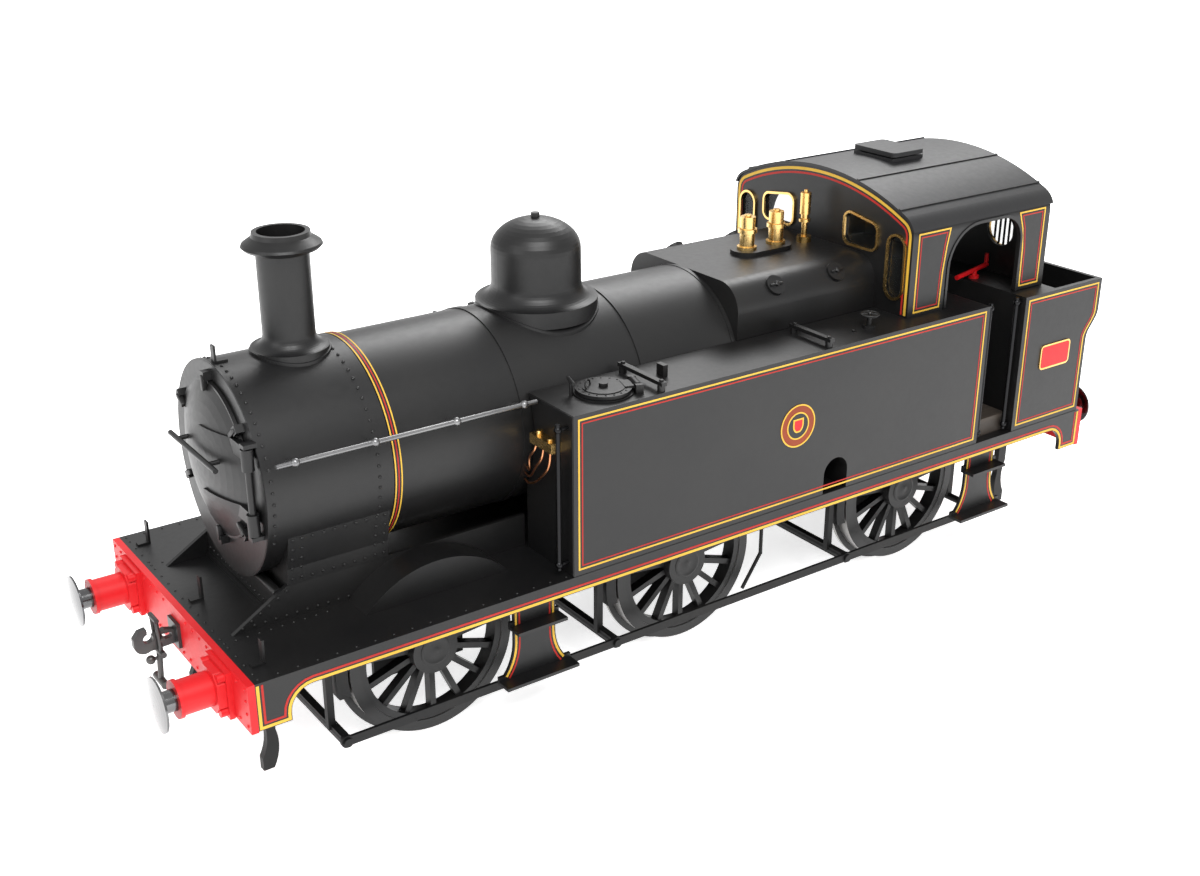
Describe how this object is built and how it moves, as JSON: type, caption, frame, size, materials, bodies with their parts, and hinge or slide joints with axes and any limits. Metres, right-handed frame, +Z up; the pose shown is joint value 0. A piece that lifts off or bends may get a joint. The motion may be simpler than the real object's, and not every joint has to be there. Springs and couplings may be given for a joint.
{
  "type": "model tank locomotive",
  "caption": "Scale model of a six-coupled side-tank steam shunting locomotive with turning coupled wheels, sprung buffers, opening smokebox door and water filler lids.",
  "frame": {"origin": "on the surface that the wheel flanges stand on, midway between the buffer heads and on the centre line", "axes": "+X forward to the smokebox, +Y to the locomotive's left, +Z up"},
  "size_m": [0.2196, 0.061, 0.0904],
  "materials": {
    "black_paint": "satin black enamel",
    "frame_black": "matt black enamel",
    "red_paint": "satin vermilion enamel",
    "bright_steel": "turned and polished",
    "rail_steel": "drawn wire",
    "brass": "polished",
    "dark_steel": "blackened",
    "motor_case": "plain",
    "glazing": "clear",
    "red_lever": "gloss red"
  },
  "bodies": {
    "locomotive": {"footplate": "black_paint", "front_buffer_beam": "red_paint", "rear_buffer_beam": "red_paint", "buffer_stocks": "red_paint", "draw_hooks": "dark_steel", "screw_couplings": "dark_steel", "main_frames": "frame_black", "motor": "motor_case", "guard_irons": "frame_black", "brake_hangers": "frame_black", "brake_rods": "frame_black", "sand_pipes": "frame_black", "footsteps": "black_paint", "splashers": "black_paint", "front_frame_plates": "black_paint", "smokebox_saddle": "black_paint", "smokebox": "black_paint", "smokebox_front": "black_paint", "chimney": "black_paint", "boiler": "black_paint", "boiler_bands": "black_paint", "dome": "black_paint", "firebox": "black_paint", "safety_valves": "brass", "whistle": "brass", "washout_plugs": "black_paint", "left_tank": "black_paint", "right_tank": "black_paint", "tank_fittings": "black_paint", "lubricators": "brass", "handrails": "rail_steel", "lamp_irons": "black_paint", "cab_front": "black_paint", "cab_left_side": "black_paint", "cab_right_side": "black_paint", "cab_rear": "black_paint", "cab_roof": "black_paint", "cab_floor": "frame_black", "cab_glass": "glazing", "window_rims": "brass", "window_bars": "frame_black", "backhead": "black_paint", "handbrake": "red_lever", "bunker": "black_paint"},
    "front_wheelset": {"front_wheels": "black_paint", "front_tyres": "bright_steel"},
    "driving_wheelset": {"driving_wheels": "black_paint", "driving_tyres": "bright_steel"},
    "rear_wheelset": {"rear_wheels": "black_paint", "rear_tyres": "bright_steel"},
    "left_coupling_rod": {"left_coupling_rod": "bright_steel"},
    "right_coupling_rod": {"right_coupling_rod": "bright_steel"},
    "smokebox_door": {"smokebox_door": "black_paint"},
    "left_filler_lid": {"left_filler_lid": "black_paint"},
    "right_filler_lid": {"right_filler_lid": "black_paint"},
    "front_left_buffer": {"front_left_buffer": "bright_steel"},
    "front_right_buffer": {"front_right_buffer": "bright_steel"},
    "rear_left_buffer": {"rear_left_buffer": "bright_steel"},
    "rear_right_buffer": {"rear_right_buffer": "bright_steel"}
  },
  "joints": [
    {"name": "driving_axle", "type": "hinge", "parent": "locomotive", "child": "driving_wheelset", "pos_m": [0.00395, 0, 0.01725], "axis": [0, 1, 0], "continuous": true},
    {"name": "front_axle", "type": "hinge", "parent": "locomotive", "child": "front_wheelset", "pos_m": [0.05995, 0, 0.01725], "axis": [0, 1, 0], "continuous": true},
    {"name": "rear_axle", "type": "hinge", "parent": "locomotive", "child": "rear_wheelset", "pos_m": [-0.05555, 0, 0.01725], "axis": [0, 1, 0], "continuous": true},
    {"name": "left_rod_pin", "type": "hinge", "parent": "driving_wheelset", "child": "left_coupling_rod", "pos_m": [0.00395, 0.02005, 0.02365], "axis": [0, 1, 0], "continuous": true},
    {"name": "right_rod_pin", "type": "hinge", "parent": "driving_wheelset", "child": "right_coupling_rod", "pos_m": [0.01035, -0.02005, 0.01725], "axis": [0, 1, 0], "continuous": true},
    {"name": "smokebox_door_hinge", "type": "hinge", "parent": "locomotive", "child": "smokebox_door", "pos_m": [0.0893, 0.0157, 0.0543], "axis": [0, 0, 1], "range_deg": [0, 105]},
    {"name": "left_filler_hinge", "type": "hinge", "parent": "locomotive", "child": "left_filler_lid", "pos_m": [0.02218, 0.02589, 0.06085], "axis": [-0.309, -0.9511, 0], "range_deg": [0, 100]},
    {"name": "right_filler_hinge", "type": "hinge", "parent": "locomotive", "child": "right_filler_lid", "pos_m": [0.02218, -0.02589, 0.06085], "axis": [0.309, -0.9511, 0], "range_deg": [0, 100]},
    {"name": "front_left_buffer_slide", "type": "slide", "parent": "locomotive", "child": "front_left_buffer", "axis": [-1, 0, 0], "range_m": [0, 0.0016], "stiffness_N_per_m": 400, "springref_m": -0.0005},
    {"name": "front_right_buffer_slide", "type": "slide", "parent": "locomotive", "child": "front_right_buffer", "axis": [-1, 0, 0], "range_m": [0, 0.0016], "stiffness_N_per_m": 400, "springref_m": -0.0005},
    {"name": "rear_left_buffer_slide", "type": "slide", "parent": "locomotive", "child": "rear_left_buffer", "axis": [1, 0, 0], "range_m": [0, 0.0016], "stiffness_N_per_m": 400, "springref_m": -0.0005},
    {"name": "rear_right_buffer_slide", "type": "slide", "parent": "locomotive", "child": "rear_right_buffer", "axis": [1, 0, 0], "range_m": [0, 0.0016], "stiffness_N_per_m": 400, "springref_m": -0.0005}
  ],
  "couplings": [
    {"joint": "front_axle", "follows": "driving_axle", "ratio": 1},
    {"joint": "rear_axle", "follows": "driving_axle", "ratio": 1},
    {"joint": "left_rod_pin", "follows": "driving_axle", "ratio": -1},
    {"joint": "right_rod_pin", "follows": "driving_axle", "ratio": -1}
  ]
}
